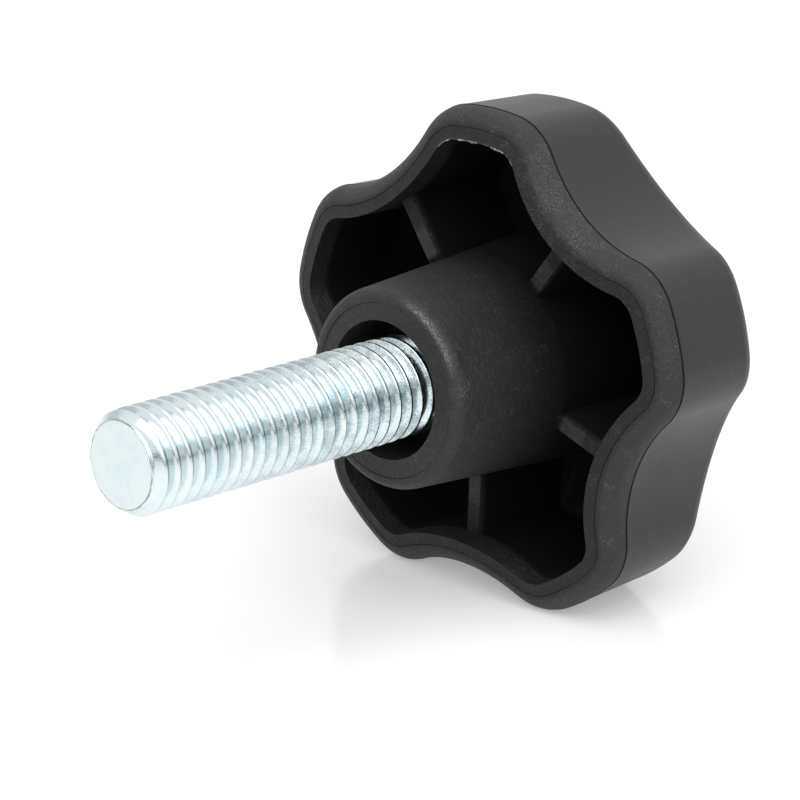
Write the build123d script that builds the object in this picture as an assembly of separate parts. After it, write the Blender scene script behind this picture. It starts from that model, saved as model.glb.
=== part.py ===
from build123d import *
import os
from math import acos, asin, atan2, cos, pi, radians, sin, sqrt, tan

# Five-lobe star knob, moulded round a fully threaded hexagon screw.
# Z = 0 is the flat land in the middle of the domed grip, and the screw points up +Z.

# Grip outline at the parting line
lobe_count = 5
grip_r = 30.25
lobe_corner_r = 7.0
scallop_r = 18.45
scallop_depth = 5.35

# Grip: domed behind, its wall drafted both ways from the parting line and rounded into back and lip.
# The lip has its height at the scallops and drops to the lobes, where its round stops clear of the parting.
dome_r = 53.5
land_r = 8.0
grip_side = 12.4
lip_height = 3.1
lip_drop = 1.05
lip_round_clear = 0.05
outer_draft = 2.0
back_edge_round = 2.5

# Hollow side: an even wall and floor, one rib to each scallop set back from the lip
wall = 3.5
floor_wall = 3.4
core_draft = 1.0
rib_thickness = 1.8
rib_setback = 2.4
rib_draft = 0.75
over_cut = 1.0

# Screw M12 x 1.75 x 65, drawn plain: crest size where it is free, mean size where plastic fills its thread
crest_d = 11.8
mean_d = 10.86
screw_length = 65.0
head_across_flats = 18.0
head_height = 7.5
head_chamfer = 0.8
head_cover = 4.8
tip_chamfer = 1.05

# Hub: its wall outside the screw head's corners, its taper, and the relief bore round the screw
hub_wall = 3.1
hub_stand = 13.7
hub_draft = 4.0
hub_edge_round = 1.4
bore_gap = 2.2
bore_depth = 8.0

# Sizes and levels that follow
half_step = pi / lobe_count
scallop_floor_r = grip_r - scallop_depth
scallop_centre_r = scallop_floor_r + scallop_r
land_sag = dome_r - sqrt(dome_r**2 - land_r**2)
parting_z = dome_r - sqrt(dome_r**2 - grip_r**2) - land_sag + grip_side
lip_z = parting_z + lip_height
lip_crown_r = (grip_r**2 - scallop_floor_r**2) / (2 * lip_drop)
crown_z = lip_z - sqrt(lip_crown_r**2 - scallop_floor_r**2)
lip_turn = pi / 2 - radians(outer_draft) - asin(grip_r / lip_crown_r)
lip_edge_round = (lip_height - lip_drop - lip_round_clear) / tan(lip_turn / 2)
open_z = crown_z + lip_crown_r + over_cut
rib_z = lip_z - rib_setback
floor_z = floor_wall - land_sag
seat_z = head_cover + head_height
tip_z = seat_z + screw_length
head_corner_r = head_across_flats / 2 / cos(pi / 6)
hub_z = lip_z + hub_stand
lip_inset = wall + lip_height * tan(radians(outer_draft))
open_inset = lip_inset - (open_z - lip_z) * tan(radians(core_draft))
bore_floor_z = hub_z - bore_depth

ON_FLOOR = (Align.CENTER, Align.CENTER, Align.MIN)
TOUCH = 0.001


def polar(radius, angle, centre=(0.0, 0.0)):
    """The point at a radius and an angle in radians from a centre."""
    return (centre[0] + radius * cos(angle), centre[1] + radius * sin(angle))


def arc(centre, radius, start, end):
    """An arc about a centre, from one angle to another in radians."""
    return ThreePointArc(*[polar(radius, a, centre) for a in (start, (start + end) / 2, end)])


def star(inset):
    """The grip's outline as a face, moved in from the parting line by inset, each arc tangent to the next."""
    corner_at = grip_r - lobe_corner_r
    reach = lobe_corner_r + scallop_r
    lean = (corner_at**2 + scallop_centre_r**2 - reach**2) / (2 * corner_at * scallop_centre_r)
    spread = half_step - acos(lean)
    edges = []
    for k in range(lobe_count):
        crown = 2 * half_step * k
        dip_at = crown + half_step
        corner = polar(corner_at, crown + spread)
        next_corner = polar(corner_at, 2 * dip_at - crown - spread)
        dip = polar(scallop_centre_r, dip_at)
        turn = (atan2(dip[1] - corner[1], dip[0] - corner[0]) - crown - spread) % (2 * pi)
        leave = crown + spread + turn
        edges += [
            arc((0, 0), grip_r - inset, crown - spread, crown + spread),
            arc(corner, lobe_corner_r - inset, crown + spread, leave),
            arc(dip, scallop_r + inset, leave + pi, 2 * dip_at - leave + pi),
            arc(next_corner, lobe_corner_r - inset, 2 * dip_at - leave, 2 * dip_at - crown - spread),
        ]
    return make_face(edges)


def drafted_star(inset, start_z, end_z, draft):
    """The star carried from one level to another, narrowing by the draft as it goes."""
    far_inset = inset + abs(end_z - start_z) * tan(radians(draft))
    return loft([Pos(0, 0, start_z) * star(inset), Pos(0, 0, end_z) * star(far_inset)], ruled=True)


def dome(offset):
    """The ball whose underside is the grip's dome, moved inwards by offset, its seam turned to the top."""
    return Pos(0, 0, dome_r - land_sag) * Rot(0, -90, 0) * Sphere(dome_r - offset)


def lip_crown():
    """The ball whose top is the grip's crowned lip, its seam turned to the bottom."""
    return Pos(0, 0, crown_z) * Rot(0, 90, 0) * Sphere(lip_crown_r)


def grip():
    """The outside of the grip."""
    below = drafted_star(0, parting_z, 0, outer_draft)
    above = drafted_star(0, parting_z, open_z, outer_draft)
    block = (below + above) & dome(0) & lip_crown()
    lip_face = block.faces().filter_by(GeomType.SPHERE).sort_by(Axis.Z)[-1]
    block = fillet(lip_face.edges(), lip_edge_round)
    dome_face = block.faces().filter_by(GeomType.SPHERE).sort_by(Axis.Z)[0]
    return fillet([e for e in dome_face.edges() if e.center().Z > TOUCH], back_edge_round)


def hub():
    """The tapered hub from the floor to its face, its wall held round the corners of the screw's head."""
    slope = tan(radians(hub_draft))
    foot_r = head_corner_r + hub_wall + (seat_z - floor_z) * slope
    cone = Cone(foot_r, foot_r - (hub_z - floor_z) * slope, hub_z - floor_z, align=ON_FLOOR)
    return Pos(0, 0, floor_z) * fillet(cone.edges().sort_by(Axis.Z)[-1], hub_edge_round)


def rib(k):
    """One rib from the axis out through the middle of a scallop, thicker towards its root."""
    root = rib_thickness + 2 * (rib_z - floor_z) * tan(radians(rib_draft))
    middle = scallop_centre_r / 2
    foot = Pos(middle, 0, 0) * Rectangle(scallop_centre_r, root)
    top = Pos(middle, 0, rib_z) * Rectangle(scallop_centre_r, rib_thickness)
    return Rot(0, 0, (k + 0.5) * 360 / lobe_count) * loft([foot, top], ruled=True)


def hollow():
    """What the core leaves open: a pocket in each lobe down to the floor, and one space over the ribs."""
    core = drafted_star(open_inset, open_z, 0, core_draft) & dome(floor_wall)
    mouth = Pos(0, 0, rib_z) * Cylinder(grip_r, open_z - rib_z, align=ON_FLOOR)
    pockets = core - mouth - hub()
    for k in range(lobe_count):
        pockets -= rib(k)
    return (core & mouth) + pockets


def screw():
    """The hexagon screw: chamfered head below, thread free above the bore's floor."""
    blank = Cylinder(head_corner_r, head_height, align=ON_FLOOR)
    blank = chamfer(blank.edges().sort_by(Axis.Z)[0], head_chamfer, 2 * head_chamfer)
    head = blank & extrude(RegularPolygon(head_across_flats / 2, 6, major_radius=False), head_height)
    held = Pos(0, 0, seat_z) * Cylinder(mean_d / 2, bore_floor_z - seat_z, align=ON_FLOOR)
    free = Pos(0, 0, bore_floor_z) * Cylinder(crest_d / 2, tip_z - bore_floor_z, align=ON_FLOOR)
    free = chamfer(free.edges().sort_by(Axis.Z)[-1], tip_chamfer)
    return Pos(0, 0, head_cover) * head + held + free


def knob_body(insert):
    """The moulding: grip, ribs and hub in one, closed round the screw, with the relief bore in the hub."""
    bore = Pos(0, 0, bore_floor_z) * Cylinder(crest_d / 2 + bore_gap, bore_depth, align=ON_FLOOR)
    return grip() - hollow() + hub() - bore - insert


def main():
    os.makedirs("parts", exist_ok=True)
    insert = screw()
    export_step(insert, "parts/threaded_stud.step")
    export_step(knob_body(insert), "parts/knob_body.step")


main()
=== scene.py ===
import bmesh
import bpy
import numpy as np
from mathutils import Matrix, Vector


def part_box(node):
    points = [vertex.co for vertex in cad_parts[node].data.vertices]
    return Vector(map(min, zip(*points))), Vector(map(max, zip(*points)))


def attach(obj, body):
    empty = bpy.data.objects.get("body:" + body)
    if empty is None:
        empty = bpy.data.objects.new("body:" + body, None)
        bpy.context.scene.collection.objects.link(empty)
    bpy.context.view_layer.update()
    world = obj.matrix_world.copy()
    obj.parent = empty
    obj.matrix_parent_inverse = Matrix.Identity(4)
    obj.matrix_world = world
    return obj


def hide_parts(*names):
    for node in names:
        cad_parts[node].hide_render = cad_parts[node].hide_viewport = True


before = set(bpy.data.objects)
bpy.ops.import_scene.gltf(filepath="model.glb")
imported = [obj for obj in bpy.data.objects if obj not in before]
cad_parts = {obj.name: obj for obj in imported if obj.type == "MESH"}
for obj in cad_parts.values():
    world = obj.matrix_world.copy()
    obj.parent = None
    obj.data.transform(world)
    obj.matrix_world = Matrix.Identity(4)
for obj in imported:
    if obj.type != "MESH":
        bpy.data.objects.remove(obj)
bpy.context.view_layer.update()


# ---- Moulded grip ------------------------------------------------------------------------------
# The grip, its ribs and its hub are one injection moulding in black glass-filled nylon, made round
# the head of the screw. The wall comes off polished steel as a soft satin; the open side, from the
# parting line to the hub's face, comes off a spark-eroded core and is grainier, with pale specks.

def linear(hex_colour):
    """An sRGB hex colour as linear RGBA: each channel to the power 2.4 above its straight toe."""
    channels = [int(hex_colour[i:i + 2], 16) / 255 for i in (1, 3, 5)]
    return [c / 12.92 if c <= 0.04045 else ((c + 0.055) / 1.055) ** 2.4 for c in channels] + [1.0]


def add(tree, kind, settings=None, **links):
    """Adds a shader node, sets its properties and sockets, and links its inputs. A name means the
    first socket in use that bears it, a number or in0, in1 the socket in that place, and a node
    given as a source stands for its first output in use."""
    node = tree.nodes.new("ShaderNode" + kind)

    def socket(name):
        if isinstance(name, int) or name[2:].isdigit():
            return node.inputs[int(str(name).removeprefix("in"))]
        return next(s for s in node.inputs if s.enabled and s.name == name.replace("_", " "))

    for name, value in (settings or {}).items():
        if isinstance(name, str) and hasattr(node, name):
            setattr(node, name, value)
        else:
            socket(name).default_value = value
    for name, source in links.items():
        if isinstance(source, bpy.types.Node):
            source = next(s for s in source.outputs if s.enabled)
        tree.links.new(source, socket(name))
    return node


def new_material(name):
    """A material of that name with an empty node tree, and the tree."""
    material = bpy.data.materials.new(name)
    material.use_nodes = True
    material.node_tree.nodes.clear()
    return material, material.node_tree


# The grip's outline has five lobes with a scallop between each two. Heights are levels above the
# dome's middle.
lobes = 5
half_lobe = np.pi / lobes
grip_r, scallop_r, scallop_depth = 0.03025, 0.01845, 0.00535
scallop_floor_r = grip_r - scallop_depth
scallop_at = scallop_floor_r + scallop_r
parting_z = 0.021172
hub_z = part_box("knob_body")[1].z

nylon, t = new_material("black_glass_filled_nylon_moulded")
place = add(t, "TexCoord").outputs["Object"]
spot = add(t, "SeparateXYZ", Vector=place)
height = spot.outputs["Z"]
flat_place = add(t, "VectorMath", {"operation": "MULTIPLY", 1: (1, 1, 0)}, in0=place)
off_axis = add(t, "VectorMath", {"operation": "LENGTH"}, in0=flat_place)
core_side = add(t, "MapRange", {"From Min": parting_z - 0.00003, "From Max": parting_z + 0.00003},
                Value=height)

# The rim's land: what faces up on the core side, outside the hub.
normal = add(t, "NewGeometry").outputs["Normal"]
facing = add(t, "SeparateXYZ", Vector=normal).outputs["Z"]
off_hub = add(t, "MapRange", {"From Min": 0.0170, "From Max": 0.0175}, Value=off_axis)
level = add(t, "MapRange", {"From Min": 0.90, "From Max": 0.995}, Value=facing)
land_part = add(t, "Math", {"operation": "MULTIPLY"}, in0=level, in1=core_side)
land = add(t, "Math", {"operation": "MULTIPLY"}, in0=land_part, in1=off_hub)

# Spark-eroded grain of the core side: wrinkles about 0.7 mm apart, with a grit of 0.25 mm on them.
wrinkle = add(t, "TexNoise", {"Scale": 1400.0, "Detail": 2.0, "Roughness": 0.6}, Vector=place)
grit = add(t, "TexNoise", {"Scale": 4000.0, "Detail": 3.0, "Roughness": 0.7}, Vector=place)
core_grain = add(t, "Mix", {"data_type": "FLOAT", "Factor": 0.45}, A=wrinkle, B=grit)
# The polished half of the mould leaves only a faint orange peel, about 1.5 mm across.
cavity_peel = add(t, "TexNoise", {"Scale": 650.0, "Detail": 2.0, "Roughness": 0.5}, Vector=place)
# Cloudy flow marks about 11 mm long.
flow = add(t, "TexNoise", {"Scale": 90.0, "Detail": 3.0, "Roughness": 0.55}, Vector=place)

# Pale glass and dust specks, drawn at about 0.1 mm so that they show, in patches of 2 mm: dense on
# the rim beside one scallop, sparse elsewhere on the core side, and rare on the wall.
speck = add(t, "TexNoise", {"Scale": 8200.0, "Detail": 4.0, "Roughness": 0.80}, Vector=place)
patch = add(t, "TexNoise", {"Scale": 500.0, "Detail": 2.0, "Roughness": 0.7}, Vector=place)
worn_middle = (0.0186, 0.0166, 0.0245)
to_worn = add(t, "VectorMath", {"operation": "DISTANCE", 1: worn_middle}, in0=place)
worn = add(t, "MapRange", {"From Min": 0.0110, "From Max": 0.0040}, Value=to_worn)
worn_rim = add(t, "Math", {"operation": "MULTIPLY"}, in0=worn, in1=core_side)
speck_lift = {"operation": "MULTIPLY_ADD", 1: 0.17}
patch_lift = add(t, "Math", speck_lift, in0=worn_rim, in2=patch)
core_lift = add(t, "Math", speck_lift, in0=core_side, in2=patch_lift)
threshold = add(t, "MapRange", {"From Min": 0.45, "From Max": 0.85,
                                "To Min": 0.75, "To Max": 0.575}, Value=core_lift)
over = add(t, "Math", {"operation": "SUBTRACT"}, in0=speck, in1=threshold)
specks = add(t, "MapRange", {"From Max": 0.05}, Value=over)

# A scuff on the hub's rounded edge, 8 mm long and under 1 mm wide, of grain crushed to crumbs of
# 0.15 mm.
scuff_middle = (0.0098, 0.0062, hub_z - 0.0008)
hub_edge_r = 0.01120
to_scuff = add(t, "VectorMath", {"operation": "DISTANCE", 1: scuff_middle}, in0=place)
scuff_reach = add(t, "MapRange", {"From Min": 0.0062, "From Max": 0.0030}, Value=to_scuff)
from_edge = add(t, "Math", {"operation": "SUBTRACT", 1: hub_edge_r}, in0=off_axis)
edge_gap = add(t, "Math", {"operation": "ABSOLUTE"}, in0=from_edge)
on_edge = add(t, "MapRange", {"From Min": 0.00044, "From Max": 0.00006}, Value=edge_gap)
high_up = add(t, "MapRange", {"From Min": hub_z - 0.0022, "From Max": hub_z - 0.0012}, Value=height)
crumb = add(t, "TexNoise", {"Scale": 6500.0, "Detail": 5.0, "Roughness": 0.75}, Vector=place)
crumb_dot = add(t, "MapRange", {"From Min": 0.46, "From Max": 0.68}, Value=crumb)
scuff_band = add(t, "Math", {"operation": "MULTIPLY"}, in0=scuff_reach, in1=on_edge)
scuff_area = add(t, "Math", {"operation": "MULTIPLY"}, in0=scuff_band, in1=high_up)
scuff = add(t, "Math", {"operation": "MULTIPLY"}, in0=scuff_area, in1=crumb_dot)

# Deep in the pockets, from just below the ribs' tops to the floor, the core is coarsely eroded and
# the plastic nearly matt, and painted shade darkens the pockets. Down the hub the matt and the
# painted shade come on gradually towards the floor. Each pair of levels is where the change starts
# and where it is full.
pocket_matt_and_shade_z, hub_matt_and_shade_z = (0.0217, 0.0207), (0.0385, 0.0210)
under_tops = add(t, "MapRange", {"From Min": pocket_matt_and_shade_z[0], "From Max": pocket_matt_and_shade_z[1]},
                 Value=height)
down_hub = add(t, "MapRange", {"From Min": hub_matt_and_shade_z[0], "From Max": hub_matt_and_shade_z[1]}, Value=height)
on_hub = add(t, "MapRange", {"From Min": 0.0140, "From Max": 0.0134}, Value=off_axis)
below_ribs = add(t, "Mix", {"data_type": "FLOAT"}, Factor=on_hub, A=under_tops, B=down_hub)
over_floor = add(t, "MapRange", {"From Min": 0.0070, "From Max": 0.0080}, Value=height)
in_lobe = add(t, "MapRange", {"From Min": 0.0272, "From Max": 0.0270}, Value=off_axis)
# Inside the wall also means more than mid_wall_r from each scallop's centre: by the law of cosines,
# with the bearing folded into half a lobe.
mid_wall_r = 0.0205
bearing = add(t, "Math", {"operation": "ARCTAN2"}, in0=spot.outputs["Y"], in1=spot.outputs["X"])
folded = add(t, "Math", {"operation": "PINGPONG", 1: half_lobe}, in0=bearing)
to_dip = add(t, "Math", {"operation": "SUBTRACT", 0: half_lobe}, in1=folded)
cosine = add(t, "Math", {"operation": "COSINE"}, in0=to_dip)
along = add(t, "Math", {"operation": "MULTIPLY"}, in0=off_axis, in1=cosine)
squared = add(t, "Math", {"operation": "MULTIPLY"}, in0=off_axis, in1=off_axis)
dip_square = add(t, "Math", {"operation": "MULTIPLY_ADD", 1: -2 * scallop_at},
                 in0=along, in2=squared)
off_dip = add(t, "MapRange", {"From Min": (mid_wall_r - 0.0002) ** 2 - scallop_at ** 2,
                              "From Max": (mid_wall_r + 0.0002) ** 2 - scallop_at ** 2},
              Value=dip_square)
pocket_part = add(t, "Math", {"operation": "MULTIPLY"}, in0=below_ribs, in1=over_floor)
pocket_wall = add(t, "Math", {"operation": "MULTIPLY"}, in0=in_lobe, in1=off_dip)
pocket = add(t, "Math", {"operation": "MULTIPLY"}, in0=pocket_part, in1=pocket_wall)

# Colour: a black that drifts with the flow, with paler tips of grain, specks and the scuff on it.
smooth_tone = add(t, "Mix", {"data_type": "RGBA", "A": linear("#141415"), "B": linear("#1C1C1D")},
                  Factor=flow)
grain_tip = add(t, "MapRange", {"From Min": 0.52, "From Max": 0.70}, Value=core_grain)
worn_tip = add(t, "Math", {"operation": "MULTIPLY"}, in0=grain_tip, in1=core_side)
body_tone = add(t, "Mix", {"data_type": "RGBA", "B": linear("#353534")},
                Factor=worn_tip, A=smooth_tone)
speckled = add(t, "Mix", {"data_type": "RGBA", "B": linear("#8E8E8B")}, Factor=specks, A=body_tone)
scuffed = add(t, "Mix", {"data_type": "RGBA", "B": linear("#B8B8B4")}, Factor=scuff, A=speckled)
# Painted shade: the up-facing land of the rim is darkened a little, where the rim turns away from
# the light, and the pockets much more, in colour and in reflection.
rim_painted_shade = add(t, "Mix", {"data_type": "RGBA", "A": (1, 1, 1, 1), "B": (0.60, 0.60, 0.60, 1)},
               Factor=land)
painted_shade = add(t, "Mix", {"data_type": "RGBA", "B": (0.26, 0.26, 0.25, 1)}, Factor=pocket, A=rim_painted_shade)
shaded = add(t, "Mix", {"data_type": "RGBA", "blend_type": "MULTIPLY", "Factor": 1.0},
             A=scuffed, B=painted_shade)
rough_wall = add(t, "MapRange", {"From Min": 0.3, "From Max": 0.7, "To Min": 0.40, "To Max": 0.47},
                 Value=flow)
rough_core = add(t, "MapRange", {"From Min": 0.3, "From Max": 0.7, "To Min": 0.50, "To Max": 0.64},
                 Value=core_grain)
rough_open = add(t, "Mix", {"data_type": "FLOAT"}, Factor=core_side, A=rough_wall, B=rough_core)
rough = add(t, "Mix", {"data_type": "FLOAT", "B": 0.92}, Factor=pocket, A=rough_open)
peel_low = add(t, "Math", {"operation": "MULTIPLY", 1: 0.12}, in0=cavity_peel)
relief = add(t, "Mix", {"data_type": "FLOAT"}, Factor=core_side, A=peel_low, B=core_grain)
bump = add(t, "Bump", {"Strength": 1.0, "Distance": 0.00040}, Height=relief)
# The painted shade also darkens the plastic's reflection, through its specular tint.
shader = add(t, "BsdfPrincipled", {"IOR": 1.53}, Base_Color=shaded, Roughness=rough,
             Specular_Tint=painted_shade, Normal=bump)
add(t, "OutputMaterial", Surface=shader)

knob_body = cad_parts["knob_body"]
knob_body.data.materials.clear()
knob_body.data.materials.append(nylon)


# ---- Witness lines -----------------------------------------------------------------------------
# Where the two halves of the mould and the core's inserts meet, they leave hairlines of plastic:
# one right round the wall, one on the rim where its round ends, and one on the hub's face. They
# are part of the moulding, a few hundredths of a millimetre high, and are coloured near black as
# painted shade of the fine step each line makes.

# The lip is a shallow ball with its top on the axis, and drops by lip_drop from scallop to lobe.
lip_z, lip_drop = parting_z + 0.0031, 0.00105
lip_crown_r = (grip_r ** 2 - scallop_floor_r ** 2) / (2 * lip_drop)
crown_z = lip_z - np.sqrt(lip_crown_r ** 2 - scallop_floor_r ** 2)


def lip_height_at(points):
    """The lip's height at points in plan, by Pythagoras on the ball that the lip is part of."""
    return crown_z + np.sqrt(lip_crown_r ** 2 - (points ** 2).sum(axis=1))


# The round corner at each side of a lobe.
corner_r = 0.0070


def grip_outline(inset, steps):
    """The grip's outline moved in by inset, as points and outward normals: for each lobe an arc
    about the axis, a corner arc, the scallop's arc about a centre outside, and a corner arc."""
    corner_at, reach = grip_r - corner_r, corner_r + scallop_r
    lean = (corner_at ** 2 + scallop_at ** 2 - reach ** 2) / (2 * corner_at * scallop_at)
    spread = half_lobe - np.arccos(lean)
    corner = corner_at * np.array([np.cos(spread), np.sin(spread)])
    dip = scallop_at * np.array([np.cos(half_lobe), np.sin(half_lobe)])
    leave = np.arctan2(dip[1] - corner[1], dip[0] - corner[0])
    f = np.linspace(0, 1, steps, endpoint=False)
    tip = -spread + 2 * spread * f
    first = spread + (leave - spread) * f
    hollow = leave + np.pi + (2 * half_lobe - 2 * leave) * f
    second = 2 * half_lobe - leave + (leave - spread) * f
    angle = np.concatenate([tip, first, hollow, second])
    c, s = np.cos(2 * half_lobe), np.sin(2 * half_lobe)
    next_corner = (c * corner[0] + s * corner[1], s * corner[0] - c * corner[1])
    centre = np.repeat([[0, 0], corner, dip, next_corner], steps, axis=0)
    radii = [grip_r - inset, corner_r - inset, scallop_r + inset, corner_r - inset]
    radius = np.repeat(radii, steps)
    sign = np.repeat([1.0, 1.0, -1.0, 1.0], steps)
    ray = np.stack([np.cos(angle), np.sin(angle)], axis=1)
    point, normal = centre + radius[:, None] * ray, sign[:, None] * ray
    turn = 2 * half_lobe * np.arange(lobes)
    spin = np.stack([np.stack([np.cos(turn), -np.sin(turn)], 1),
                     np.stack([np.sin(turn), np.cos(turn)], 1)], 1)
    return [np.einsum("kab,nb->kna", spin, each).reshape(-1, 2) for each in (point, normal)]


def faces_out(mesh):
    """Turns every face of a closed mesh outwards."""
    solid = bmesh.new()
    solid.from_mesh(mesh)
    bmesh.ops.recalc_face_normals(solid, faces=solid.faces)
    solid.to_mesh(mesh)
    solid.free()


def show(name, data):
    """A new object of that name at the origin, which shows a mesh, a lamp or a camera."""
    thing = bpy.data.objects.new(name, data)
    bpy.context.scene.collection.objects.link(thing)
    return thing


def ring_mesh(name, loops):
    """A closed band from loops of points: each loop runs once round the band, and the loops follow
    one another round its section; both directions close on themselves."""
    loops = np.asarray(loops)
    m, n = loops.shape[:2]
    i, j = np.meshgrid(np.arange(m), np.arange(n), indexing="ij")
    i2, j2 = (i + 1) % m, (j + 1) % n
    quads = np.stack([i * n + j, i * n + j2, i2 * n + j2, i2 * n + j], axis=2).reshape(-1, 4)
    mesh = bpy.data.meshes.new(name)
    mesh.from_pydata(loops.reshape(-1, 3).tolist(), [], quads.tolist())
    mesh.update()
    faces_out(mesh)
    mesh.polygons.foreach_set("use_smooth", np.ones(len(mesh.polygons), bool))
    return mesh


def bead(across, stand):
    """A low bead's section: five points of a shallow arch and two points sunk in the surface."""
    sunk = -0.00004
    return [(-across, 0.0), (-across * 0.5, stand * 0.8), (0.0, stand), (across * 0.5, stand * 0.8),
            (across, 0.0), (across * 0.6, sunk), (-across * 0.6, sunk)]


def waver(n, waves, seed):
    """A smooth value from 0 to 1 round a closed line: half of 1 plus the mean of sines that each
    go round in a whole number of waves."""
    angle = np.linspace(0, 2 * np.pi, n, endpoint=False)[:, None]
    counts = np.array(waves)[None, :]
    return 0.5 + 0.5 * np.sin(angle * counts + seed * counts * counts).mean(axis=1)


outline_steps = 48
point, normal = grip_outline(0.0, outline_steps)
wall_line = [np.column_stack([point + normal * stand, np.full(len(point), parting_z + across)])
             for across, stand in bead(0.00015, 0.00004)]

# The rim's line fades in and out, and is nearly gone where the rim is worn.
rim_inset, worn_bearing = 0.00213, 43
point, normal = grip_outline(rim_inset, outline_steps)
bearing = np.degrees(np.arctan2(point[:, 1], point[:, 0]))
worn_away = np.clip(np.abs(bearing - worn_bearing) / 8 - 1.6, 0.08, 1)
faint = (0.35 + 0.65 * waver(len(point), (3, 5, 11, 17), 0.9)) * worn_away
rim_line = []
for across, stand in bead(0.00007, 0.00003):
    here = point + normal * (across * faint)[:, None]
    rim_line.append(np.column_stack([here, lip_height_at(here) + stand * faint]))

# The hub's line is a circle a tenth of a millimetre off centre, and fades on one side.
circle_steps = 180
angle = np.linspace(0, 2 * np.pi, circle_steps, endpoint=False)
ray = np.stack([np.cos(angle), np.sin(angle)], axis=1)
off_centre, line_r = np.array([0.00012, -0.00008]), 0.01018
faint = (0.3 + 0.7 * waver(circle_steps, (1, 2, 5, 9), 0.4)) * (0.55 - 0.45 * np.cos(angle - 0.3))
hub_line = [np.column_stack([off_centre + ray * (line_r + across * faint)[:, None],
                             hub_z + stand * faint]) for across, stand in bead(0.00013, 0.00003)]

# The same nylon, left rough where the tools close. Its near-black colour and weak reflection,
# varied in spots about 0.5 mm long, are painted shade of the fine step each line makes; the lines
# are nearly matt.
hairline, t = new_material("black_nylon_moulding_flash")
place = add(t, "TexCoord").outputs["Object"]
line_shade_spots = add(t, "TexNoise", {"Scale": 2000.0, "Detail": 2.0}, Vector=place)
tone = add(t, "Mix", {"data_type": "RGBA", "A": linear("#030303"), "B": linear("#101010")},
           Factor=line_shade_spots)
rough = add(t, "MapRange", {"To Min": 0.75, "To Max": 0.95}, Value=line_shade_spots)
shader = add(t, "BsdfPrincipled", {"IOR": 1.53, "Specular IOR Level": 0.2},
             Base_Color=tone, Roughness=rough)
add(t, "OutputMaterial", Surface=shader)

for name, loops in (("wall_parting_line", wall_line), ("rim_witness_line", rim_line),
                    ("hub_witness_line", hub_line)):
    line = show(name, ring_mesh(name, loops))
    line.data.materials.append(hairline)
    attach(line, "root")


# ---- Flash -------------------------------------------------------------------------------------
# A ragged fin of nylon that squeezed past the core along the cavity's edge in one lobe. It is a
# tenth of a millimetre thick and whitened where it was torn off.

cavity_inset, fine_steps = 0.00362, 160
flash_from, flash_to = 59, 85
point, normal = grip_outline(cavity_inset, fine_steps)
bearing = np.degrees(np.arctan2(point[:, 1], point[:, 0]))
keep = np.flatnonzero((bearing > flash_from) & (bearing < flash_to))
keep = keep[np.argsort(bearing[keep])]
point, normal = point[keep], normal[keep]
n = len(point)
# Its height is a smoothed random one of up to 0.46 mm, run out at both ends and broken between.
rng = np.random.default_rng(7)
ragged = np.convolve(rng.random(n + 4) ** 2.2, np.ones(3) / 3, mode="valid")[:n]
run_out = np.sin(np.linspace(0, np.pi, n)) ** 0.5
broken = np.clip(1.2 + 2.2 * np.sin(np.linspace(1.0, 24.0, n)), 0.04, 1)
tall = (0.00004 + 0.00042 * ragged) * run_out * broken
edge_z = lip_height_at(point)
# The section's five points: how far each stands out along the outline's normal, and how far up.
section = [(0.00010, -0.00008), (-0.00004, tall * 0.35), (-tall * 0.85, tall * 0.15),
           (-tall * 0.80, tall * 0.15 - 0.00006), (-0.00002, -0.00030)]
fin = [np.column_stack([point + normal * np.broadcast_to(out, n)[:, None], edge_z + rise])
       for out, rise in section]
m = len(fin)
i, j = np.meshgrid(np.arange(m), np.arange(n - 1), indexing="ij")
i2 = (i + 1) % m
quads = np.stack([i * n + j, i * n + j + 1, i2 * n + j + 1, i2 * n + j], axis=2).reshape(-1, 4)
caps = [[k * n for k in range(m)], [k * n + n - 1 for k in range(m)][::-1]]
mesh = bpy.data.meshes.new("cavity_edge_flash")
mesh.from_pydata(np.concatenate(fin).tolist(), [], quads.tolist() + caps)
mesh.update()
faces_out(mesh)
flash = show("cavity_edge_flash", mesh)

# Nylon torn by hand turns from black to a pale grey, in flecks about 0.3 mm long.
torn_nylon, t = new_material("black_nylon_torn_and_whitened")
place = add(t, "TexCoord").outputs["Object"]
fleck = add(t, "TexNoise", {"Scale": 3300.0, "Detail": 3.0, "Roughness": 0.7}, Vector=place)
fleck_here = add(t, "MapRange", {"From Min": 0.42, "From Max": 0.58}, Value=fleck)
tone = add(t, "Mix", {"data_type": "RGBA", "A": linear("#1E1E1E"), "B": linear("#B0B0AC")},
           Factor=fleck_here)
rough = add(t, "MapRange", {"To Min": 0.55, "To Max": 0.8}, Value=fleck)
shader = add(t, "BsdfPrincipled", {"IOR": 1.53}, Base_Color=tone, Roughness=rough)
add(t, "OutputMaterial", Surface=shader)
mesh.materials.append(torn_nylon)
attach(flash, "root")


# ---- Screw -------------------------------------------------------------------------------------
# A fully threaded M12 x 1.75 hexagon screw, cold headed and thread rolled in steel, then zinc
# plated and blue passivated: bright bluish crests, grooves darkened by painted shade in their
# roots, a paler end face. Its head and the first stretch of thread are held in the moulding and
# never seen.

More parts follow.
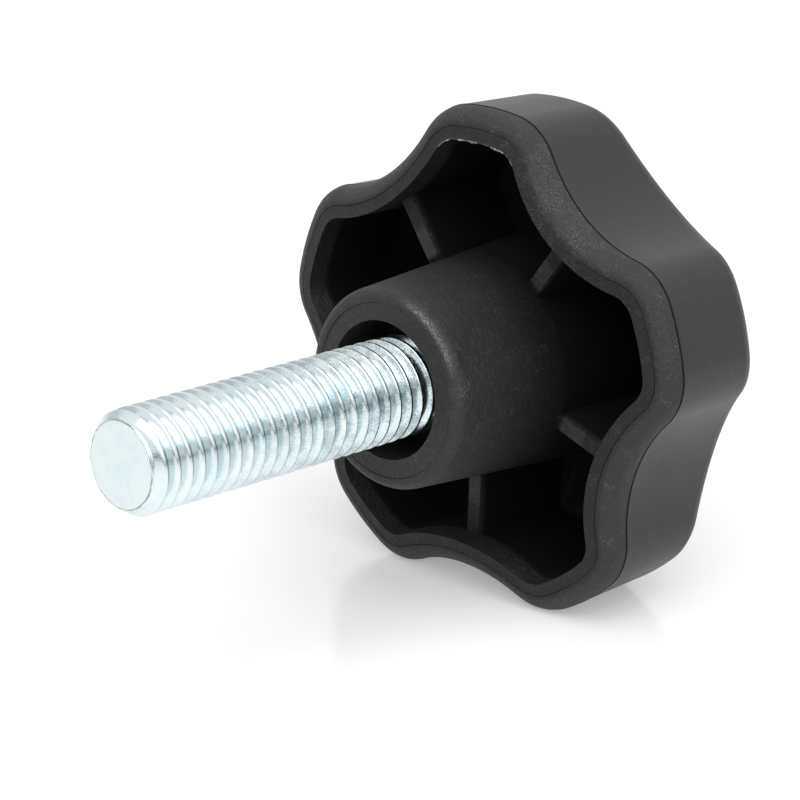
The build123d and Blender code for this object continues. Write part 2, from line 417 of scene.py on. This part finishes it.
def closed_turned_mesh(name, z, radius_at, sides):
    """A closed shape from rows of heights: row i lies at z[i], each vertex at the radius that
    radius_at gives for its row and angle, and fans to the axis shut the first and last rows."""
    z = np.asarray(z)
    rows = len(z)
    angle = np.arange(sides) * 2 * np.pi / sides
    r = radius_at(np.arange(rows)[:, None], z[:, None], angle[None, :])
    x, y = r * np.cos(angle), r * np.sin(angle)
    grid = np.stack([x, y, np.broadcast_to(z[:, None], x.shape)], axis=2).reshape(-1, 3)
    verts = np.concatenate([grid, [[0, 0, z[0]], [0, 0, z[-1]]]])
    i, j = np.meshgrid(np.arange(rows - 1) * sides, np.arange(sides), indexing="ij")
    k = (j + 1) % sides
    quads = np.stack([i + j, i + k, i + sides + k, i + sides + j], axis=2).reshape(-1, 4)
    j, k = j[0], k[0]
    last = (rows - 1) * sides
    low = np.stack([np.full(sides, rows * sides), k, j], axis=1)
    high = np.stack([np.full(sides, rows * sides + 1), last + j, last + k], axis=1)
    mesh = bpy.data.meshes.new(name)
    mesh.from_pydata(verts.tolist(), [], quads.tolist() + low.tolist() + high.tolist())
    mesh.update()
    return mesh


low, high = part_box("threaded_stud")
head_z, tip_z = low.z, high.z
pitch = 0.00175
crest_r, core_r, mean_r = 0.0059, 0.00488, 0.00543
head_height, head_flat_r, head_bevel = 0.0075, 0.009, 0.0008
head_corner_r = 0.0103923
bore_depth = 0.008
tip_bevel = 0.00105
# The profile from the middle of the crest, in half pitches: half the crest's width, then the
# flank's, with the share of the flank in which it eases off the crest.
half_crest, flank, ease = 0.15, 0.75, 0.06

sides = 96
bore_floor_z = hub_z - bore_depth
seat_z = head_z + head_height
turns, rows_per_turn = 27, 26
free_rows = np.linspace(bore_floor_z, tip_z, turns * rows_per_turn)
row_z = np.concatenate([[head_z, head_z + head_bevel, seat_z], [seat_z, bore_floor_z], free_rows])
HEAD, HELD, FREE = 0, 1, 2
row_kind = np.array([HEAD] * 3 + [HELD] * 2 + [FREE] * len(free_rows))


def screw_radius(row, z, angle):
    """Head: the hexagon's flats, cut by the cone of its bevel. Held shank: the mean radius. Free
    thread: a right-hand helix whose profile is a crest with eased edges, flanks that fall at about
    60 degrees to the axis and a narrow root, cut by the 45 degree cone of the end bevel."""
    kind = row_kind[row]
    turn = (angle + np.pi / 6) % (np.pi / 3) - np.pi / 6
    hexagon = head_flat_r / np.cos(turn)
    cone = head_flat_r + (z - head_z) * (head_corner_r - head_flat_r) / head_bevel
    head = np.minimum(hexagon, cone)
    phase = (z / pitch - angle / (2 * np.pi)) % 1.0
    from_crest = np.abs(phase - 0.5) * 2
    fall = np.clip((from_crest - half_crest) / flank, 0, 1)
    eased = np.where(fall < ease, fall * fall / (2 * ease), fall - ease / 2)
    thread = crest_r - (crest_r - core_r) * eased / (1 - ease / 2)
    bevel = crest_r - np.maximum(z - (tip_z - tip_bevel), 0)
    free = np.minimum(thread, bevel)
    return np.where(kind == HEAD, head, np.where(kind == HELD, mean_r, free))


mesh = closed_turned_mesh("zinc_plated_screw", row_z, screw_radius, sides)
screw = show("zinc_plated_screw", mesh)
round_faces = np.ones(len(mesh.polygons), bool)
round_faces[-2 * sides:] = False
mesh.polygons.foreach_set("use_smooth", round_faces)
# How deep each vertex lies in the thread, from 0 on the crest to 1 at the root.
xyz = np.empty(len(mesh.vertices) * 3)
mesh.vertices.foreach_get("co", xyz)
xyz = xyz.reshape(-1, 3)
depth = np.clip((crest_r - np.hypot(xyz[:, 0], xyz[:, 1])) / (crest_r - core_r), 0, 1)
depth[xyz[:, 2] > tip_z - tip_bevel * 0.9] = 0
groove_depth = mesh.attributes.new("groove", "FLOAT", "POINT")
groove_depth.data.foreach_set("value", depth.astype(np.float32))

# Bright zinc under a thin passive film: a bluish mirror, softened by its grain.
zinc, t = new_material("steel_zinc_plated_blue_passivated")
place = add(t, "TexCoord").outputs["Object"]
height = add(t, "SeparateXYZ", Vector=place).outputs["Z"]
flat_place = add(t, "VectorMath", {"operation": "MULTIPLY", 1: (1, 1, 0)}, in0=place)
off_axis = add(t, "VectorMath", {"operation": "LENGTH"}, in0=flat_place)
groove = add(t, "Attribute", {"attribute_name": "groove"}).outputs["Fac"]
# The film varies in thickness over some 3 mm, which shifts the zinc from blue to a warmer white.
film = add(t, "TexNoise", {"Scale": 330.0, "Detail": 4.0, "Roughness": 0.65}, Vector=place)
film_step = add(t, "MapRange", {"From Min": 0.38, "From Max": 0.62}, Value=film)
film_tone = add(t, "Mix", {"data_type": "RGBA", "A": linear("#D3E2E6"), "B": linear("#DEE7E8")},
                Factor=film_step)
# The zinc's grain is too fine to show, so it is drawn at about 0.2 mm. It leaves the zinc frosted,
# in clouds of 2.4 mm that thicken towards the hub.
plating = add(t, "TexNoise", {"Scale": 5200.0, "Detail": 3.0, "Roughness": 0.6}, Vector=place)
cloud = add(t, "TexNoise", {"Scale": 420.0, "Detail": 2.0, "Roughness": 0.6}, Vector=place)
frost_sum = add(t, "Math", {"operation": "ADD"}, in0=plating, in1=cloud)
off_end = add(t, "MapRange", {"From Min": tip_z - 0.0040, "From Max": tip_z - 0.0380}, Value=height)
frost_all = add(t, "MapRange", {"From Min": 0.94, "From Max": 1.18, "To Max": 0.80},
                Value=frost_sum)
frost = add(t, "Math", {"operation": "MULTIPLY"}, in0=frost_all, in1=off_end)
frosted = add(t, "Mix", {"data_type": "RGBA", "B": linear("#8D9DA3")}, Factor=frost, A=film_tone)
# The roots of the thread are painted darker: painted shade deep in the narrow roots.
root_shade = add(t, "MapRange", {"From Min": 0.80, "From Max": 0.97, "To Max": 0.90}, Value=groove)
root_shaded_tone = add(t, "Mix", {"data_type": "RGBA", "B": linear("#4A575D")}, Factor=root_shade, A=frosted)
# The sheared end's edge has a broken dark rim a tenth of a millimetre wide, where the plating is
# thin. It wanders by 0.4 mm at most about the edge, with nicks about 0.7 mm apart.
wander = 0.00040
nick = add(t, "TexNoise", {"Scale": 1500.0, "Detail": 3.0, "Roughness": 0.7}, Vector=place)
wandering = add(t, "Math", {"operation": "MULTIPLY_ADD", 1: wander}, in0=nick, in2=off_axis)
from_rim = add(t, "Math", {"operation": "SUBTRACT", 1: crest_r - tip_bevel + wander / 2},
               in0=wandering)
rim_gap = add(t, "Math", {"operation": "ABSOLUTE"}, in0=from_rim)
rim_near = add(t, "MapRange", {"From Min": 0.00013, "From Max": 0.00004}, Value=rim_gap)
at_tip = add(t, "MapRange", {"From Min": tip_z - 0.0003, "From Max": tip_z - 0.0002}, Value=height)
rim_part = add(t, "Math", {"operation": "MULTIPLY"}, in0=rim_near, in1=at_tip)
rim_broken = add(t, "MapRange", {"From Min": 0.40, "From Max": 0.60,
                                 "To Min": 0.15, "To Max": 0.80}, Value=film)
rim_seen = add(t, "Math", {"operation": "MULTIPLY"}, in0=rim_part, in1=rim_broken)
tone = add(t, "Mix", {"data_type": "RGBA", "B": linear("#6A6E6C")}, Factor=rim_seen, A=root_shaded_tone)
rough = add(t, "MapRange", {"From Min": 0.3, "From Max": 0.7, "To Min": 0.12, "To Max": 0.22},
            Value=plating)
bump = add(t, "Bump", {"Strength": 0.35, "Distance": 0.00003}, Height=plating)
shader = add(t, "BsdfPrincipled", {"Metallic": 1.0}, Base_Color=tone, Roughness=rough, Normal=bump)
add(t, "OutputMaterial", Surface=shader)
mesh.materials.append(zinc)
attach(screw, "root")
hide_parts("threaded_stud")


# ---- Studio ------------------------------------------------------------------------------------
# A pale glossy table under the two lower lobes, a white room and one wide soft lamp overhead. The
# knob lies on the drafted wall behind its parting line, so the screw points slightly upwards.

def seen_rays(tree):
    """1 for the rays that show the table and the room themselves, in the view, in gloss or through
    glass, and 0 for the rays that light the knob: the largest of the three kinds' flags."""
    way = add(tree, "LightPath").outputs
    either = add(tree, "Math", {"operation": "MAXIMUM"}, in0=way["Is Camera Ray"],
                 in1=way["Is Glossy Ray"])
    return add(tree, "Math", {"operation": "MAXIMUM"}, in0=either, in1=way["Is Transmission Ray"])


# The way down lies between two lobes. The table leans by the wall's draft, and at the parting
# line it is off_table from the screw's axis.
down_bearing, draft, off_table = np.radians(-108), np.radians(2.0), 0.02744
down = np.array([np.cos(down_bearing), np.sin(down_bearing), 0])
up = np.array([-down[0] * np.cos(draft), -down[1] * np.cos(draft), np.sin(draft)])
foot = down * off_table + np.array([0, 0, parting_z])
camera_at = np.array([0.2678964, 0.0323912, 0.2928301])
towards = camera_at - foot - up * np.dot(camera_at - foot, up)
towards /= np.linalg.norm(towards)
right = np.cross(up, towards)

half_table = 3.0
square = ((-1, -1), (1, -1), (1, 1), (-1, 1))
corners = [foot + half_table * (a * towards + b * right) for a, b in square]
table_mesh = bpy.data.meshes.new("table")
table_mesh.from_pydata([corner.tolist() for corner in corners], [], [(0, 1, 2, 3)])
table_mesh.update()
if np.dot(np.array(table_mesh.polygons[0].normal), up) < 0:
    table_mesh.flip_normals()
table = show("table", table_mesh)

# Polished white acrylic: it clips to the room's white, and keeps the shade and a faint mirror
# image. It is clear from below.
acrylic, t = new_material("white_acrylic_sheet")
lift = add(t, "Math", {"operation": "MULTIPLY", 1: 0.32}, in0=seen_rays(t))
sheet = add(t, "BsdfPrincipled", {"Base Color": linear("#F2F2F2"), "Roughness": 0.18, "IOR": 1.45})
glow = add(t, "Emission", {"Color": (1, 1, 1, 1)}, Strength=lift)
top_side = add(t, "AddShader", in0=sheet, in1=glow)
underside = add(t, "BsdfTransparent")
from_below = add(t, "NewGeometry").outputs["Backfacing"]
either_side = add(t, "MixShader", in0=from_below, in1=top_side, in2=underside)
add(t, "OutputMaterial", Surface=either_side)
table_mesh.materials.append(acrylic)

# The room is plain white where it is seen, and lights the knob at a quarter of that.
world = bpy.data.worlds.new("white_room")
bpy.context.scene.world = world
world.use_nodes = True
t = world.node_tree
t.nodes.clear()
strength = add(t, "MapRange", {"To Min": 0.26, "To Max": 1.0}, Value=seen_rays(t))
room = add(t, "Background", {"Color": (1, 1, 1, 1)}, Strength=strength)
add(t, "OutputWorld", Surface=room)

# One square lamp over the table on the camera's side, aimed at the middle of the grip.
lamp_data = bpy.data.lights.new("overhead", "AREA")
lamp_data.energy, lamp_data.size = 11.0, 1.25
lamp = show("overhead", lamp_data)
lamp_at = foot + 0.05 * right + 0.50 * towards + 0.80 * up
grip_middle = foot + 0.028 * up
lamp.location = lamp_at
lamp.rotation_euler = Vector(grip_middle - lamp_at).to_track_quat("-Z", "Y").to_euler()


def hung_round(name, first, last, places, top):
    """A strip that hangs on an arc about the knob, at so many places from a first to a last bearing
    in degrees from the camera's side, and from its hem up to its top. Only gloss shows it."""
    arc_r, hem = 0.44, 0.014
    turn = np.radians(np.linspace(first, last, places))
    along = np.outer(np.cos(turn), towards) + np.outer(np.sin(turn), right)
    low, high = foot + arc_r * along + hem * up, foot + arc_r * along + top * up
    k = np.arange(places - 1)
    quads = np.stack([k, k + 1, k + 1 + places, k + places], axis=1)
    strip = bpy.data.meshes.new(name)
    strip.from_pydata(np.concatenate([low, high]).tolist(), [], quads.tolist())
    hung = show(name, strip)
    for ray_kind in ("camera", "diffuse", "transmission", "shadow"):
        setattr(hung, "visible_" + ray_kind, False)
    return hung


def matt_cloth(name, scale, dark, pale):
    """A matt cloth whose tone drifts between two colours over its folds."""
    cloth, t = new_material(name)
    place = add(t, "TexCoord").outputs["Object"]
    fold = add(t, "TexNoise", {"Scale": scale, "Detail": 2.0}, Vector=place)
    tone = add(t, "Mix", {"data_type": "RGBA", "A": linear(dark), "B": linear(pale)}, Factor=fold)
    shader = add(t, "BsdfDiffuse", Color=tone)
    add(t, "OutputMaterial", Surface=shader)
    return cloth


# The dark gap between the table's edge and the lamp's light, hung with cloth in folds of a third of
# a metre. It gives the screw its dark streak.
room_end = hung_round("dark_gap_of_room", -75, 100, 36, 0.060)
room_end.data.materials.append(matt_cloth("dark_blue_green_cloth", 3.0, "#335058", "#41616A"))

# A white curtain with folds of 80 mm, which the screw's upper edge shows.
curtain = hung_round("white_curtain", -130, -85, 16, 0.30)
curtain.data.materials.append(matt_cloth("white_linen", 12.0, "#DCE1E1", "#F0F2F2"))

# A long lens, 0.4 m from the knob.
camera = bpy.data.cameras.new("camera")
camera.lens, camera.sensor_width = 147.688, 36.0
camera.clip_start, camera.clip_end = 0.01, 20.0
eye = show("camera", camera)
eye.location = camera_at
eye.rotation_euler = np.radians([-16.33530, 44.05453, -15.62292])
bpy.context.scene.camera = eye
bpy.context.scene.view_settings.view_transform = "Standard"
